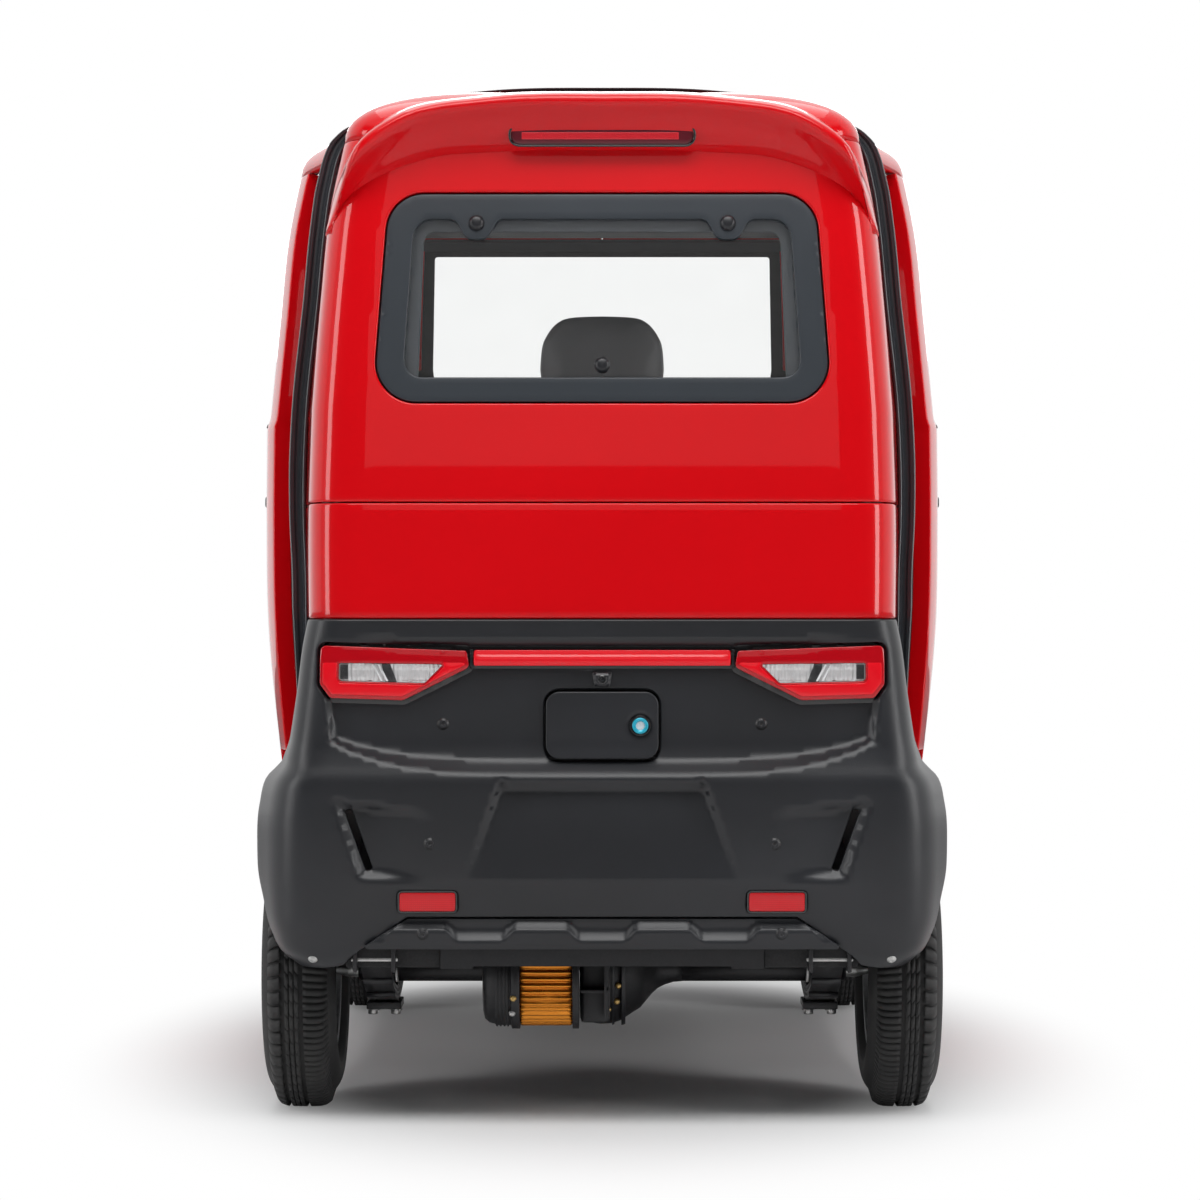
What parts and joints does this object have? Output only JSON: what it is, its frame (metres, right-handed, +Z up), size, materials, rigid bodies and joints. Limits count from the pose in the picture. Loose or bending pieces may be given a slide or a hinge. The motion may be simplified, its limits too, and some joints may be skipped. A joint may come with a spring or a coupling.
{
  "type": "electric microcar",
  "caption": "Small one-seat electric cabin car with hinged side doors, steered front wheels, a solid rear drive axle and a hinged charging flap.",
  "frame": {"origin": "on the floor, in the middle of the vehicle's box", "axes": "+Y forward, +X to the vehicle's right, +Z up"},
  "size_m": [1.1452, 2.26, 1.6414],
  "materials": {
    "red_paint": "gloss clear coat over red paint",
    "clear_glass": "polished",
    "slate_frame": "satin",
    "rail_rubber": "ribbed, semi-gloss",
    "charcoal_moulding": "fine grain, matte",
    "black_plastic": "moulded",
    "red_lens": "polished lens",
    "headlamp_lens": "polished lens",
    "black_steel": "black chassis paint",
    "orange_stator": "anodised fins",
    "cabin_plastic": "grained",
    "seat_leather": "padded",
    "wheel_alloy": "dark painted",
    "tyre_rubber": "ribbed tread"
  },
  "bodies": {
    "body": {"side_frame_right": "red_paint", "side_frame_left": "red_paint", "roof_panel": "red_paint", "rear_panel_upper": "red_paint", "rear_panel_lower": "red_paint", "nose_panel": "red_paint", "windscreen": "clear_glass", "rear_window_glass": "clear_glass", "rear_window_frame": "slate_frame", "drip_rail": "rail_rubber", "rear_moulding": "charcoal_moulding", "front_moulding": "charcoal_moulding", "rear_insert": "charcoal_moulding", "charge_port": "black_plastic", "rear_liners": "black_plastic", "front_liners": "black_plastic", "seat_base": "black_plastic", "battery_pack": "black_plastic", "tail_lamps": "red_lens", "high_stop_lamp": "red_lens", "rear_reflectors": "red_lens", "headlamps": "headlamp_lens", "floor_pan": "black_steel", "chassis_rails": "black_steel", "cross_members": "black_steel", "rear_axle": "black_steel", "drive_motor": "black_steel", "leaf_springs": "black_steel", "front_beam": "black_steel", "front_arms": "black_steel", "front_spring": "black_steel", "motor_stator": "orange_stator", "dashboard": "cabin_plastic", "steering_column": "cabin_plastic", "seat_cushion": "seat_leather", "seat_back": "seat_leather", "headrest": "seat_leather"},
    "right_door": {"door_right": "red_paint", "door_glass_right": "clear_glass"},
    "left_door": {"door_left": "red_paint", "door_glass_left": "clear_glass"},
    "charge_flap": {"charge_lid": "charcoal_moulding"},
    "helm": {"steering_wheel": "cabin_plastic"},
    "track_rod": {"tie_rod": "black_steel"},
    "right_knuckle": {"knuckle_right": "black_steel"},
    "left_knuckle": {"knuckle_left": "black_steel"},
    "front_right_wheel": {"front_wheel_right": "wheel_alloy", "front_tyre_right": "tyre_rubber"},
    "front_left_wheel": {"front_wheel_left": "wheel_alloy", "front_tyre_left": "tyre_rubber"},
    "rear_right_wheel": {"rear_wheel_right": "wheel_alloy", "rear_tyre_right": "tyre_rubber"},
    "rear_left_wheel": {"rear_wheel_left": "wheel_alloy", "rear_tyre_left": "tyre_rubber"}
  },
  "joints": [
    {"name": "rear_right_wheel_spin", "type": "hinge", "parent": "body", "child": "rear_right_wheel", "pos_m": [0.479, -0.78, 0.2215], "axis": [1, 0, 0], "continuous": true},
    {"name": "rear_left_wheel_spin", "type": "hinge", "parent": "body", "child": "rear_left_wheel", "pos_m": [-0.479, -0.78, 0.2215], "axis": [1, 0, 0], "continuous": true},
    {"name": "front_left_steer", "type": "hinge", "parent": "body", "child": "left_knuckle", "pos_m": [-0.452, 0.72, 0.2215], "axis": [0, 0, 1], "range_deg": [-30, 30]},
    {"name": "front_right_steer", "type": "hinge", "parent": "body", "child": "right_knuckle", "pos_m": [0.452, 0.72, 0.2215], "axis": [0, 0, 1], "range_deg": [-30.5, 30.5]},
    {"name": "steering_wheel_turn", "type": "hinge", "parent": "body", "child": "helm", "pos_m": [0, 0.205, 0.935], "axis": [0, -0.9398, 0.3417], "range_deg": [-200, 200]},
    {"name": "tie_rod_slide", "type": "slide", "parent": "body", "child": "track_rod", "axis": [1, 0, 0], "range_m": [-0.03, 0.03]},
    {"name": "front_right_wheel_spin", "type": "hinge", "parent": "right_knuckle", "child": "front_right_wheel", "pos_m": [0.479, 0.72, 0.2215], "axis": [1, 0, 0], "continuous": true},
    {"name": "front_left_wheel_spin", "type": "hinge", "parent": "left_knuckle", "child": "front_left_wheel", "pos_m": [-0.479, 0.72, 0.2215], "axis": [1, 0, 0], "continuous": true},
    {"name": "right_door_hinge", "type": "hinge", "parent": "body", "child": "right_door", "pos_m": [0.5645, 0.394, 0.9], "axis": [0, 0, 1], "range_deg": [0, 68]},
    {"name": "left_door_hinge", "type": "hinge", "parent": "body", "child": "left_door", "pos_m": [-0.5645, 0.394, 0.9], "axis": [0, 0, -1], "range_deg": [0, 68]},
    {"name": "charge_lid_hinge", "type": "hinge", "parent": "body", "child": "charge_flap", "pos_m": [-0.0845, -1.1125, 0.6285], "axis": [0, 0, -1], "range_deg": [0, 110]}
  ],
  "couplings": [
    {"joint": "front_right_steer", "follows": "front_left_steer", "ratio": 1},
    {"joint": "steering_wheel_turn", "follows": "front_left_steer", "ratio": 6.5},
    {"joint": "tie_rod_slide", "follows": "front_left_steer", "m_per_rad": 0.055}
  ]
}
